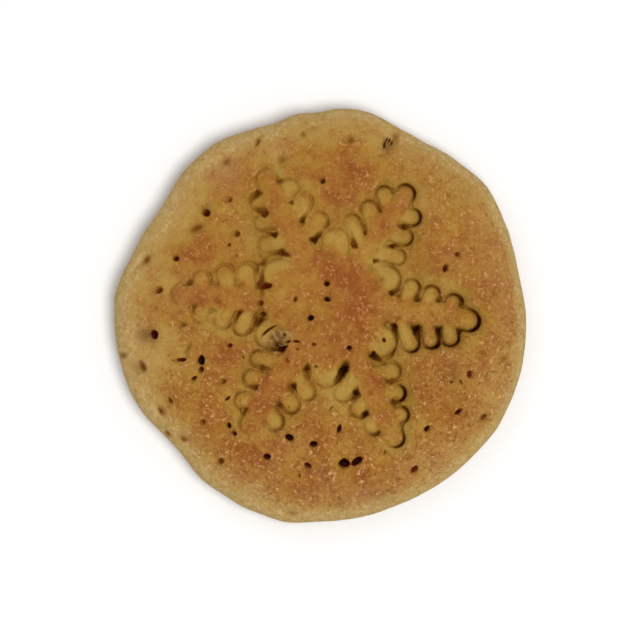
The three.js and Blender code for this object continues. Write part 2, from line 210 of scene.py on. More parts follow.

# Where the stamp bit differently: an arm's bearing, a place along and aside of it, half-width, share added
# to the depth, and width added to the groove. A deeper bite also darkens the groove's painted shade.
BITES = {
    -3.4: [
        (29.6, -1, 2.2, 0.45, 0.45), (26.6, 3.4, 1.6, 0.35, 0.45), (17.8, -6.8, 1.2, 0.3, 0.1),
        (25.6, -3.8, 2, 0.35, 0.1), (21.5, -5, 2.5, 0.55, 0.1), (17.5, -4, 2.5, 0.35, 0.05),
        (18, 5, 4, 0.2, 0), (21, -0.5, 8, 0.22, 0), (13, -2.5, 1.5, 0.2, 0.1), (16.4, 6.8, 2.2, 0.45, -0.05),
        (19.1, 4.9, 1.2, 0.4, 0.1), (22.2, 4.3, 0.9, -0.5, 0), (24.1, 4.3, 1.4, 0.5, 0),
        (22.2, -5.9, 1.2, 0.4, 0.3),
    ],
    57: [
        (20, 0, 8, -0.3, 0), (24, 4, 2.8, 0.3, -0.05), (26, 3.6, 2, 0.5, 0), (22.2, 4.6, 1.8, 0.35, 0),
        (19.5, 4.5, 2.4, 0.35, -0.05), (28.5, -0.5, 2.6, 0.8, 0.12), (25.7, -2.4, 0.9, -0.4, 0),
        (25, -5, 2, 0.45, 0.1), (14.4, -6, 2.4, 0.6, -0.05),
    ],
    27: [
        (12.5, 3.3, 1.2, -0.6, 0), (14.5, 0, 3.4, -0.35, 0.1),
    ],
    115: [
        (20, 0, 8, -0.22, 0.1), (26.5, 3.5, 1.4, 0.3, 0.35), (28.5, -1.5, 2.6, -0.55, 0.1),
        (21.5, -5.5, 5.5, -0.4, 0.25), (14, 6, 2.5, -0.2, 0.6), (13.5, -5, 2, -0.2, 0.5),
        (11.8, -3.1, 1.2, -0.6, 0), (11.7, 2.5, 1.2, -0.6, 0), (17.6, -7.8, 1.3, 0.5, 0),
    ],
    175.5: [
        (22, -0.5, 7, -0.55, 0.4), (29.8, -0.5, 2.2, -0.25, 0), (27.7, 1.4, 1.6, -0.6, 0),
        (18.5, -6.5, 3.5, -0.35, 0.3), (13.4, -6, 2.4, -0.1, 0.45),
    ],
    82: [
        (15, -1, 3.2, -0.35, 0.1),
    ],
    236.5: [
        (24, 5, 1.5, -0.1, 0.1), (20, 0, 8, -0.15, 0.05), (19, 5, 5, -0.05, 0.12),
        (26.5, 1.5, 2.2, -0.45, 0.15), (19, -5.5, 5, 0.05, 0.05), (15.1, -7, 1.5, 0.35, 0.05),
        (19.4, -6.2, 1.5, 0.25, 0.05), (24.1, -5.2, 1.5, 0.25, 0.05), (26.5, -2.2, 1.6, 0.35, 0),
    ],
    143.5: [
        (14.5, 0, 3, 0.2, 0.4),
    ],
    297.5: [
        (20, 0, 8, -0.33, 0), (21.8, 5.6, 2, 0.8, 0.22), (26, 4, 2, 0.5, 0.1), (29.5, 1, 1.8, 0.3, 0.1),
        (28, -1.6, 1.6, -0.5, 0), (14.2, 6, 1.8, -0.1, 0.7), (24, -3.8, 2, -0.05, 0),
        (20, -4.5, 2.2, 0.3, 0), (12.5, -3, 2, 0.75, 0.2), (17.5, -4.9, 1.3, -0.4, 0),
        (13.5, -6.6, 1.5, -0.4, 0),
    ],
}

# Holes torn at the inner ends of the slots: an arm's bearing, the wide end's place along and aside of it,
# the narrow end's place, width, depth and how dark it is painted, partly browner dough and partly painted
# shade. The tear's have bearing 0.
WEDGES = {
    -3.4: [
        (12.3, 3.9, 14.4, 5.1, 1.1, 0.8, 0.65), (17.6, 2.8, 17.1, 4, 1.1, 0.7, 0.5),
        (21.6, 3, 22.9, 3.9, 1, 0.6, 0.5), (13.2, -2.1, 14.2, -5.4, 1.2, 1.3, 1),
        (17.5, -2.5, 18.6, -5.2, 1.6, 1.4, 1), (21.9, -2.4, 22.5, -4.8, 1.2, 1.4, 1),
        (25.9, -2.6, 26.2, -4.2, 0.7, 0.5, 0.7),
    ],
    57: [
        (13.2, 2.1, 15.4, 4.2, 1.2, 0.9, 0.7), (16.3, 1.6, 18.2, 3.4, 0.65, 0.7, 0.8),
        (21.6, 1.6, 23.2, 3.4, 0.6, 0.4, 0.6), (13, -2.6, 14.6, -5.2, 0.5, 0.6, 0.7),
        (17.5, -4.1, 16.7, -2.9, 0.9, 1, 0.95), (17.5, -4.1, 18.4, -5.9, 0.9, 0.9, 0.75),
        (21.8, -4, 21.2, -2.7, 1, 0.9, 0.9), (21.8, -4, 23.1, -5.5, 1, 0.9, 0.75),
    ],
    115: [
        (13.5, 3, 12.3, 1.7, 1.1, 1.1, 0.95), (13.6, 2.9, 14.4, 5.4, 1.3, 0.9, 0.7),
        (13.2, 7.7, 14.3, 5.7, 1.1, 0.6, 0.65), (17.3, 2.8, 18.9, 4.5, 0.9, 0.9, 0.85),
        (21.7, 2.8, 24, 4.2, 1.4, 0.9, 0.75), (26.3, 2.3, 25.3, 4.1, 1.3, 0.7, 0.7),
        (26.4, -2, 27.9, -2.3, 0.9, 0.6, 0.6), (26.4, -2, 26.4, -3.9, 0.9, 0.6, 0.6),
        (13.2, -3.4, 14.1, -5.8, 1.4, 1.1, 0.9), (17.4, -3, 18.6, -4.4, 1, 0.8, 0.7),
        (21.7, -2.5, 22.5, -3.8, 1, 0.7, 0.6),
    ],
    175.5: [
        (12.7, 2.9, 11.5, 1.6, 1.2, 1, 0.9), (12.9, 3, 14.5, 5.6, 1.4, 0.8, 0.75),
        (16.9, 2.1, 15.8, 1.1, 0.8, 0.9, 0.85), (16.8, 2.2, 18.1, 4.6, 0.8, 0.7, 0.6),
        (12.7, -3, 12.6, 1.6, 1.1, 0.4, 0.45), (12.6, 1.3, 13, -2.4, 1.2, 0.4, 0.4),
        (25.6, 1.1, 25.8, 3.4, 0.9, 0.5, 0.6), (13.1, -3.9, 13.1, -6.7, 1.2, 0.9, 0.8),
        (12.5, -3.5, 10.7, -4, 1.2, 0.2, 1), (12, -3.7, 13.8, -3.1, 1.2, 0.2, 1),
        (16.6, -3.7, 18.5, -3.3, 0.6, 0.3, 0.35), (21.3, -3.3, 22.3, -4.2, 0.6, 0.3, 0.3),
        (26.8, -3.1, 26.2, -4.8, 0.9, 0.5, 0.5), (27.1, -3, 26.4, -3.9, 0.8, 0.5, 0.6),
        (26.9, -2.9, 30.2, -1.8, 0.45, 0.4, 0.6),
    ],
    236.5: [
        (11.7, 3.2, 10.2, 2.5, 1.2, 0.9, 0.85), (11.7, 3.2, 13.4, 4.7, 1.2, 0.7, 0.6),
        (15.8, 2.9, 16.8, 4.4, 1, 1, 0.85), (15.8, 2.9, 14.9, 2.5, 1, 0.9, 0.85),
        (20.2, 2.5, 21, 4.6, 1, 0.7, 0.6), (16.2, -4.2, 15.6, -2.7, 0.9, 0.7, 0.6),
        (16.2, -4.2, 16.8, -6.2, 1, 0.6, 0.5), (19.9, -2.9, 21, -4.8, 1.1, 0.8, 0.6),
        (24.5, -2.4, 28.7, -1.6, 0.8, 0.4, 0.55),
    ],
    297.5: [
        (11.8, 3.9, 14.6, 5.2, 1.3, 1.2, 1), (18.1, 4.4, 16.7, 3.3, 1.1, 0.6, 0.7),
        (18.1, 4.4, 18.8, 6.7, 1.2, 0.6, 0.65), (21.8, 3.2, 22.9, 4.3, 0.9, 0.7, 0.6),
        (11.9, -2.1, 10.4, -1.1, 1.5, 1.6, 1), (11.8, -2.1, 13.4, -5, 1.8, 1.7, 1),
        (17.1, -2.2, 16.1, -1.6, 1.2, 1.2, 0.95), (17, -2.2, 18.1, -3.8, 1.3, 1.2, 0.95),
        (21.5, -2.5, 20.6, -1.9, 1.1, 1.2, 0.95), (21.5, -2.5, 22, -4, 1.2, 1.1, 0.95),
        (26, -1.9, 26, -3.6, 0.6, 0.6, 0.6),
    ],
    0: [
        (-8.3, -7.5, -10.2, -6.3, 1.4, 2.1, 1), (-8.8, -7.7, -12.4, -7.7, 1, 1.1, 0.85),
    ],
}
WEDGE_TAPER = 0.4  # width of a hole's narrow end as a share of the wide one's
WEDGE_CUT = 0.2  # how far beyond its place the wide end is cut off square, as a share of its width
WEDGE_RISE = 0.7  # share of its depth lost at the narrow end
WEDGE_WALL = (0.3, -0.4)  # distances from its edge where it begins and is deepest
WEDGE_SHADE = (0.3, -0.35)  # and where its painted shade is darkest

GROOVE_DEPTH = 1.6
BITE_MEAN = 0.8  # share of it that the stamp bit on the whole
BITE_RANGE = (0.12, 1.8)
GROOVE_SHADE_BITES = (0.3, 1.7)  # bites where the groove's painted shade begins and is darkest
LEAN = 0.28  # how much deeper the stamp bit, and so how much darker the groove's painted shade is, on a side that looks along LEAN_BEARING
LEAN_BEARING = -20
LEAN_MEAN = 0.96
LEAN_STEP = 0.05  # between the two places that tell which way a side looks
GROOVE_WIDTH = 0.08  # half-width of the groove's flat bottom
WALL = 0.16  # half the run of the lobe's steep side
SHOULDER = 0.32  # how fast the groove's outer side rises at first
SHOULDER_POWER = 1.3
BANK = 0.5  # share of the depth that the outer side keeps for longer
BANK_REACH = 1.5
PAINTED_SHADE_REACH = 1.2  # how far the groove's painted shade reaches over the dough beside it
PAINTED_SHADE_INWARD = 0.45  # and the stamped dough inside its outline
SLOT = (2.0, 1.0)  # gap between two bars from which, and at which, the groove fills it
SLOT_FADE = (0.6, 3.6)  # distances from the spine between which a slot gets shallower
SLOT_END = 0.45  # what is left of its depth there
SLOT_SMOOTH = 0.3  # share of the groove's line lost in a slot, in depth
SLOT_SHADE_LOSS = 0.4  # and in its painted shade
SLOT_SHADE = 0.3  # how dark the painted shade in a slot is beside that line
PILLOW = 0.95  # how far a lobe's edge rounds off towards the groove
PILLOW_REACH = 0.7
PILLOW_MOST = 1.2  # the bite that rounds it off most
SOFTEN = 0.28  # rounds the inner corners of the stamp's outline

# Browned patches: x, y, half-width, strength.
PATCHES = [
    (6, 27, 7, 0.9), (1, 20, 5, 0.3), (8, 1, 4.5, 0.75), (3, 8, 4, 0.85), (2, -4, 6, 0.4), (-22, 12, 6, 0.8),
    (-8, 16, 4, 0.35), (-18, 6, 5, 0.4), (-24, 0, 4, 0.4), (-14, -6, 4, 0.5), (-18, -8, 5, 0.3),
    (-27, -14, 4, 0.5), (21, 12, 5, 0.6), (-20, -14, 6, 0.3), (-22, -23, 6, 0.4), (-14, -29, 6, 0.45),
    (-8, -14, 5, 0.5), (0, -21, 5, 0.5), (0, -33, 7, 0.55), (11, -33, 6, 0.6), (24, -22, 6, 0.45),
    (24, -12, 6, 0.55), (33, -8, 6, 0.4), (33, 4, 7, 0.6), (28, -22, 4, 0.35), (9, -24, 3, 0.35),
    (-16, 25, 6, 0.5), (-33, 3, 5, 0.3), (8, 7, 3.5, 0.5), (-12, -12, 3, 0.5), (-4, -12, 3, 0.4),
    (10, -12, 3, 0.4), (-18, 25, 4, 0.3), (-17, -32, 3, 0.3), (-13, -31, 4.5, 0.3), (-6, -34.5, 3.5, 0.3),
    (-18, -8.3, 2, 0.4), (24, 25, 5, 0.3), (31, 16, 5, 0.3),
]
# Patches that stayed pale: x, y, half-width, strength.
PALE_PATCHES = [
    (-27, 20, 5, 0.5), (-36, 8, 7, 0.5), (-35, -12, 7, 0.6), (-28, -27, 5, 0.5), (13, 36, 5, 0.5),
    (-6, 37, 7, 0.4), (30, -28, 6, 0.7), (-14, -36, 5, 0.4), (3, -17, 3.5, 0.7), (11, 11, 3.5, 0.7),
    (-18, 23, 5, 0.6), (3, 36, 5, 0.5), (25, 26, 4, 0.5), (27, 18, 4, 0.4), (26, 5, 4, 0.5),
    (29, -1, 2.5, 0.6), (16.6, 24, 2.5, 0.4), (14.4, -23.5, 2.5, 0.5), (19, -21, 4, 0.6), (36, -8, 4, 0.4),
    (4, -33, 3, 0.3), (10, 31, 4, 0.4),
]
# Greyish, floury areas: x, y, half-width, strength.
DUSTY_PATCHES = [
    (-31, -8, 5, 1.2), (-34.5, -3.5, 2.6, 1.6), (-12.8, -34.2, 2.2, 1.6), (23, -4, 4, 0.6), (26, 10, 5, 0.5),
    (30, -12, 6, 0.5), (24, -27, 4, 1), (-9, -29, 4, 0.5), (20, 22, 4, 0.7), (-30, 22, 4.5, 1.7),
    (-19, 28, 3.5, 1.5), (-8, 32, 2.5, 1.3), (1, -32, 3, 1), (9, -36, 3, 1.2), (17, -27, 3, 1),
    (-5, -25, 3, 0.8), (-29, 5, 5, 0.8),
]
# Darker olive areas, mixed in with the shade beside the groove: x, y, half-width, strength.
DARK_OLIVE_PATCHES = [
    (-12, 17.5, 3.5, 0.55), (-9, 12, 2.5, 0.85), (-12, 21, 2.5, 0.3), (13, -9, 3.5, 0.65),
    (18, -12, 2.5, 0.3), (28, 3, 2.5, 0.6), (25, -3, 3.5, 0.35), (16, 15.5, 2.5, 0.45), (-4, -1, 4, 0.3),
    (-12, 4, 2, 0.3), (4, 20, 2.5, 0.35), (12, 8, 2.5, 0.35), (20, 9, 2.5, 0.7), (-8, -3.5, 2.5, 0.2),
    (-12, -9, 3, 0.4), (20, 25, 3, 0.3), (27, 24, 3, 0.3), (12, -35, 3, 0.35),
]
# Where the paste shows dark through thin dough: x, y, half-width, strength.
BRUISES = [
    (-8.5, -3.9, 1.7, 0.4), (-7.7, -3.6, 1.3, 0.45), (-8, -5, 1.2, 0.8), (-8.6, -22.4, 0.8, 0.6),
    (-9.8, -5.9, 1.1, 0.6), (-6.4, -4.4, 0.9, 0.4), (-34, -3.8, 1.5, 0.9), (13.1, 32.9, 1, 0.6),
    (-35, -10, 1, 0.5), (-21.7, 21.4, 0.9, 0.4), (26, -11.5, 2.2, 0.3), (-17, -22.2, 1, 0.4),
]
# Wrinkles of the torn skin: places along each, in the plan.
WRINKLES = [
    [(-11.1, -4.5), (-10.6, -3.9), (-9.9, -3.3), (-9, -3)], [(-9, -3.5), (-8.8, -4.1), (-8.2, -4.5)],
    [(-10.9, -4.9), (-10.2, -4.7)], [(-9.6, -4.8), (-9.1, -5.1)], [(-8.1, -2.7), (-7.5, -3.1), (-7.4, -3.8)],
    [(-6.6, -3), (-6.2, -3.6), (-6.3, -4.3), (-7, -4.7)], [(-5.9, -3.3), (-5.6, -3.9), (-5.3, -4.4)],
    [(-15.1, -34.6), (-14.4, -33.2), (-12.8, -32.8), (-11.4, -33.3)],
    [(-11.1, -34.6), (-12.2, -35.6), (-14, -35.9)], [(-9.8, -35), (-8.7, -35.9), (-8.4, -37)],
    [(-34, -8.8), (-33.5, -9.7), (-33.7, -10.7)], [(-36.1, -9), (-36.5, -9.8), (-36.3, -10.6)],
    [(12.9, 35.8), (13, 35.2)],
]
WRINKLE_HEIGHT = 0.22
WRINKLE_WIDTH = 0.24
# Thin strands of dough across the tear and the crack: places along each, in the plan.
STRANDS = [
    [(-8.1, -5.5), (-7.5, -5.75), (-6.9, -5.6), (-6.4, -5.4)],
    [(13.25, 34.5), (13.1, 34.0), (12.9, 33.5)],
    [(12.8, 34.6), (12.7, 34.1)],
]
STRAND_RADIUS = 0.17
STRAND_SIDES = 8
STRAND_STEPS = 6  # rings of points for each of its places
STRAND_UNEVEN = 0.15
PASTE_FROM = 0.75  # a prick at least this dark shows the paste
PASTE_SHARE = 0.36  # half-size of its lump as a share of the prick's size
PASTE_HALF_HEIGHT = 0.25
PASTE_UNEVEN = 0.12
# Lumps of paste in the tear: x, y, length, width, turn.
TEAR_PASTE = [(-7.5, -6.35, 1.8, 1.0, 14), (-8.4, -5.7, 1.0, 0.5, 20)]

BLISTER = (-8.4, -4.0, 3.8, 2.8, 10)  # the bulge of the torn skin: x, y, length, width, turn
BLISTER_HEIGHT = 0.3
BLISTER_FILL = 0.6  # share of the stamp's depth that a bulge of 1 mm takes up
BLISTER_STRETCH = (1, 1.8, 1)  # of its unevenness
BOTH_SINK = 0.35  # share of the smaller added where stamp and prick both sink the dough
DOUGH_LOW = 0.1  # how far the uneven dough lies below the plain round
RIM_FROM = 2  # distance from the stamp beyond which wrinkles are floury
WRINKLE_DUST = 3.5
MOST_DARK = 1.3

# How browned: the mean, then what patches, spines, lobes, the ring outside the stamp and the rim
# add or take.
BAKE_MEAN = 0.5
BAKE_PATCH = 0.5
BAKE_PALE = 0.45
BAKE_SPINE = 0.12
BAKE_LOBE = 0.22
BAKE_RING = 0.18
BAKE_RIM = 0.75
BASE_BAKE = 0.78
PALE_WIDTH = 4.6  # of the pale rim, and PALE_LEAN less at PALE_BEARING
PALE_LEAN = 1.8
PALE_BEARING = 10
DUST_PATCH = 0.7
ROUGH_MEAN = 0.56  # how flecked, and the shares that stamp and rim take
ROUGH_STAMP = 0.25
ROUGH_RIM = 0.2
BASE_ROUGH = 0.6

# Each unevenness is a sum of noises: wavelength, height and a seed of its own.
WAVES = {
    "bite": [(3.4, 0.3, 1), (1.5, 0.25, 2)],
    "groove": [(2.6, 0.5, 3)],
    "dough": [(9.0, 0.15, 4), (3.6, 0.1, 5), (1.5, 0.045, 6), (0.8, 0.03, 7)],
    "base": [(3.2, 0.16, 8)],
    "base_bake": [(6.0, 0.12, 9)],
    "pale": [(3.0, 0.16, 10)],
    "bake": [(6.5, 0.14, 11), (2.6, 0.12, 12)],
    "ragged": [(2.0, 0.6, 13), (0.9, 0.5, 14)],
    "prick": [(0.8, 0.14, 15)],
    "blister": [(0.75, 0.45, 16)],
    "wedge": [(0.7, 0.2, 17)],
    "dusty": [(4.0, 0.8, 18)],
    "wrinkle": [(0.6, 0.12, 19)],
}

# ---- How finely the sheet is laid ----
FINE_STEP = 0.17  # of the finest lattice; the next two are twice and four times as wide
FINE_BAND = (-0.6, 1.5)  # distances outside the stamp's outline between which it is the finest
FINE_CUT = 1.9  # and so many half-sizes round a cut
FINE_WEDGE = 0.5  # and so far round a wedge
FINE_WRINKLE = 0.9  # and a wrinkle
CROWN_REACH = 33.5  # where the middle lattice ends
HEM_GAP = 0.35  # between the lattice and the hem, where the sheet meets the base
HEM_POINTS = 420
MERGE_WITHIN = 1e-5  # points closer than this become one
MERIDIAN_STEPS = 4000
OUTLINE_STEPS = 3601
BASE_STEP = 1.3
PRICK_RINGS = (0.0, 0.3, 0.55, 0.72, 0.86, 1.0, 1.14, 1.35, 1.7)  # in a prick's half-sizes
PRICK_ROOM = 0.2  # between the last ring and the lattice
PRICK_SIDES = 26
NOISE_LATTICE = 48
SEED = 7


# ---- Small helpers ----
def bump(distance, half_width):
    return np.exp(-((distance / half_width) ** 2))


def smoothstep(low, high, value):
    """From 0 at low to 1 at high, which may be the smaller of the two."""
    share = np.clip((value - low) / (high - low), 0, 1)
    return share * share * (3 - 2 * share)


def noise(points, wavelength, seed):
    """Smooth noise from -1 to 1, read from a seeded random lattice."""
    lattice = np.random.default_rng(SEED + seed).uniform(-1, 1, (NOISE_LATTICE,) * 3)
    at = points / wavelength
    cell = np.floor(at).astype(int)
    part = smoothstep(0, 1, at - cell)
    total = np.zeros(len(points))
    for corner in product((0, 1), repeat=3):
        weight = np.where(corner, part, 1 - part).prod(axis=1)
        i, j, k = ((cell + corner) % NOISE_LATTICE).T
        total += weight * lattice[i, j, k]
    return total


def waves(points, name):
    return sum(height * noise(points, wavelength, seed) for wavelength, height, seed in WAVES[name])


def plan_waves(x, y, name):
    return waves(np.column_stack([x, y, np.zeros_like(x)]), name)


def field(x, y, rows):
    """The sum of round bumps: each row is x, y, half-width and height."""
    total = np.zeros_like(x)
    for at_x, at_y, wide, high in rows:
        total += high * bump(np.hypot(x - at_x, y - at_y), wide)
    return total


def nearest(distances):
    """The smallest of several distances, point by point."""
    return reduce(np.minimum, distances)


def turned(along, aside, degrees):
    """x and y of a place along and aside of a bearing."""
    angle = math.radians(degrees)
    cos, sin = math.cos(angle), math.sin(angle)
    return along * cos - aside * sin, along * sin + aside * cos


def ellipse_reach(x, y, ellipse, bow=0.0):
    """Distance from an ellipse's middle, as a share of its half-sizes."""
    at_x, at_y, long, wide, turn = ellipse
    along, aside = turned(x - at_x, y - at_y, -turn)
    aside = aside - bow * (1 - (2 * along / long) ** 2)
    return np.hypot(along / (long / 2), aside / (wide / 2))


# ---- The plain round ----
def outline_radius(theta):
    bearing = np.degrees(theta)
    radius = np.full_like(bearing, RADIUS)
    for at, wide, deep in EDGE:
        radius += deep * bump((bearing - at + 180) % 360 - 180, wide)
    return radius


def meridian():
    """From the crown's middle to the base: stations from 0 to 2 and the mean length along to each."""
    share = 1 - (1 - np.linspace(0, 1, MERIDIAN_STEPS)) ** 2
    turn = np.linspace(0, math.pi / 2, MERIDIAN_STEPS)[1:]
    stations = np.concatenate([share, 1 + turn / (math.pi / 2)])
    reach = RADIUS * np.concatenate([share, FOOT + (1 - FOOT) * np.cos(turn)])
    rise = (HEIGHT - GIRTH_Z) * np.sqrt(1 - share**CROWN_POWER)
    level = np.concatenate([GIRTH_Z + rise, GIRTH_Z * (1 - np.sin(turn))])
    steps = np.hypot(np.diff(reach), np.diff(level))
    return stations, np.concatenate([[0], np.cumsum(steps)])


STATIONS, LENGTHS = meridian()
SHEET_RADIUS = LENGTHS[-1]


def plan_to_sheet(x, y):
    """Where a point of the crown's plan lies on the flat sheet."""
    theta = np.arctan2(y, x)
    along = np.interp(np.hypot(x, y) / outline_radius(theta), STATIONS, LENGTHS)
    return along * np.cos(theta), along * np.sin(theta)


def round_surface(sheet):
    """Points of the plain round from points of the flat sheet, and their stations."""
    theta = np.arctan2(sheet[:, 1], sheet[:, 0])
    station = np.interp(np.hypot(sheet[:, 0], sheet[:, 1]), LENGTHS, STATIONS)
    turn = np.clip(station - 1, 0, 1) * math.pi / 2
    share = np.where(station <= 1, station, FOOT + (1 - FOOT) * np.cos(turn))
    reach = share * outline_radius(theta)
    x = reach * np.cos(theta)
    y = reach * np.sin(theta)
    power = CROWN_POWER + CROWN_LEAN * np.cos(theta - math.radians(CROWN_BEARING))
    rise = np.sqrt(1 - np.clip(station, 0, 1) ** power)
    on_crown = GIRTH_Z + (HEIGHT - GIRTH_Z + field(x, y, SWELLS)) * rise
    z = np.where(station <= 1, on_crown, GIRTH_Z * (1 - np.sin(turn)))
    return np.column_stack([x, y, z]), station


# ---- The stamp ----
def arm_place(bearing, along, aside):
    """Plan point from a place along and aside of an arm."""
    return np.array([STAMP_X, STAMP_Y]) + turned(along, aside, bearing)


def stamp_bars():
    """The tapered bars that fill the snowflake, in groups: each bar is two ends and two radii."""
    groups = []
    for bearing, (neck, neck_half), (spine, spine_half), tip, left, right in ARMS:
        root = arm_place(bearing, 0, neck)
        neck_end = arm_place(bearing, NECK_END - 1, neck)
        inner = arm_place(bearing, NECK_END, spine)
        outer = arm_place(bearing, left[-1][0], spine)
        groups.append(
            [
                (root, neck_end, neck_half, neck_half),
                (inner, outer, spine_half, spine_half),
                (outer, arm_place(bearing, *tip[:2]), spine_half, tip[2]),
            ]
        )
        for root_along, along, aside, radius in left + right:
            ends = arm_place(bearing, root_along, spine), arm_place(bearing, along, aside)
            groups.append([(*ends, radius - LOBE_WAIST, radius)])
    for bearing, reach, radius in TABS:
        ends = arm_place(bearing, 0, 0), arm_place(bearing, reach - radius, 0)
        groups.append([(*ends, radius, radius)])
    return groups


def bar_distance(x, y, bar):
    """Distance outside a tapered bar."""
    start, finish, start_radius, finish_radius = bar
    line = finish - start
    share = ((x - start[0]) * line[0] + (y - start[1]) * line[1]) / (line @ line)
    share = np.clip(share, 0, 1)
    away = np.hypot(x - start[0] - share * line[0], y - start[1] - share * line[1])
    return away - start_radius - (finish_radius - start_radius) * share


def stamp_distance(x, y):
    """Distance outside the snowflake's outline (negative inside), and the gap between the two
    nearest of its parts."""
    hub = np.hypot(x - STAMP_X, y - STAMP_Y) - HUB_RADIUS
    outside = hub
    first = hub
    second = np.full_like(hub, SHEET_RADIUS)
    for group in stamp_bars():
        distance = nearest(bar_distance(x, y, bar) for bar in group)
        second = np.minimum(second, np.maximum(first, distance))
        first = np.minimum(first, distance)
        blend = np.clip(0.5 + (outside - distance) / (2 * SOFTEN), 0, 1)
        outside = outside + (distance - outside) * blend - SOFTEN * blend * (1 - blend)
    return outside, np.maximum(first, 0) + np.maximum(second, 0)


def spine_distance(x, y):
    """Distance outside the nearest arm's neck, spine and tip."""
    spines = (group for group in stamp_bars() if len(group) > 1)
    return nearest(bar_distance(x, y, bar) for group in spines for bar in group)


def wedges():
    """The torn holes, each as a tapered bar, a depth and how dark it is."""
    for bearing, rows in WEDGES.items():
        for along, aside, far_along, far_aside, wide, deep, shade_darkness in rows:
            ends = arm_place(bearing, along, aside), arm_place(bearing, far_along, far_aside)
            yield (*ends, wide / 2, wide / 2 * WEDGE_TAPER), deep, shade_darkness


def wedge_relief(x, y):
    """How far the torn holes sink the dough, and how dark their painted shade is."""
    uneven = plan_waves(x, y, "wedge")
    sink = np.zeros_like(x)
    shade_darkness = np.zeros_like(x)
    for bar, deep, tint in wedges():
        start, finish, half_wide, _ = bar
        line = finish - start
        length = math.hypot(*line)
        ahead = ((x - start[0]) * line[0] + (y - start[1]) * line[1]) / length
        left = 1 - WEDGE_RISE * np.clip(ahead / length, 0, 1)
        away = np.maximum(bar_distance(x, y, bar), -ahead - WEDGE_CUT * 2 * half_wide) + uneven
        sink = np.maximum(sink, deep * left * smoothstep(*WEDGE_WALL, away))
        shade_darkness = np.maximum(shade_darkness, tint * left * smoothstep(*WEDGE_SHADE, away))
    return sink, shade_darkness


def wrinkle_distance(x, y):
    """Distance from the nearest wrinkle's line."""
    pairs = (pair for way in WRINKLES for pair in zip(way, way[1:]))
    return nearest(bar_distance(x, y, (np.array(a), np.array(b), 0, 0)) for a, b in pairs)


def stamp_relief(x, y):
    """How far the stamp sinks the dough, how dark the painted shade in the groove and beside it is, and the
    distance from the stamp's outline."""
    outside, gap = stamp_distance(x, y)
    depth = BITE_MEAN + plan_waves(x, y, "bite")
    width = GROOVE_WIDTH * (1 + plan_waves(x, y, "groove"))
    for bearing, rows in BITES.items():
        for along, aside, wide, deeper, wider in rows:
            at_x, at_y = arm_place(bearing, along, aside)
            near = bump(np.hypot(x - at_x, y - at_y), wide)
            depth += deeper * near
            width += wider * near
    step_x, step_y = turned(LEAN_STEP, 0, LEAN_BEARING)
    ahead, _ = stamp_distance(x + step_x, y + step_y)
    depth *= LEAN_MEAN + LEAN * (ahead - outside) / LEAN_STEP
    depth = np.clip(depth, *BITE_RANGE)
    wall = smoothstep(-WALL, WALL, outside)
    beyond = np.clip(outside - width, 0, None)
    line = wall * np.exp(-((beyond / SHOULDER) ** SHOULDER_POWER))
    slot_left = 1 - (1 - SLOT_END) * smoothstep(*SLOT_FADE, spine_distance(x, y))
    slot = wall * smoothstep(*SLOT, gap) * slot_left
    floor = np.maximum(line * (1 - SLOT_SMOOTH * slot), slot)
    bank = wall * np.exp(-beyond / BANK_REACH) * BANK
    pillow = (1 - wall) * PILLOW * np.exp(np.minimum(outside, 0) / PILLOW_REACH)
    sink = GROOVE_DEPTH * depth * np.maximum(floor, bank) + pillow * np.minimum(depth, PILLOW_MOST)
    torn, torn_shade = wedge_relief(x, y)
    # Painted shade: the groove's bottom and the slots are darkened, more where the stamp bit deeper.
    shade_darkness = np.maximum(line * (1 - SLOT_SHADE_LOSS * slot), slot * SLOT_SHADE)
    shade_darkness *= smoothstep(*GROOVE_SHADE_BITES, depth)
    # Painted shade beside the groove, over its outer bank and inside the lobe's rounded edge.
    shade = np.exp(np.where(outside > 0, -beyond / PAINTED_SHADE_REACH, outside / PAINTED_SHADE_INWARD)) * depth
    return sink + torn, np.maximum(shade_darkness, torn_shade), shade, outside


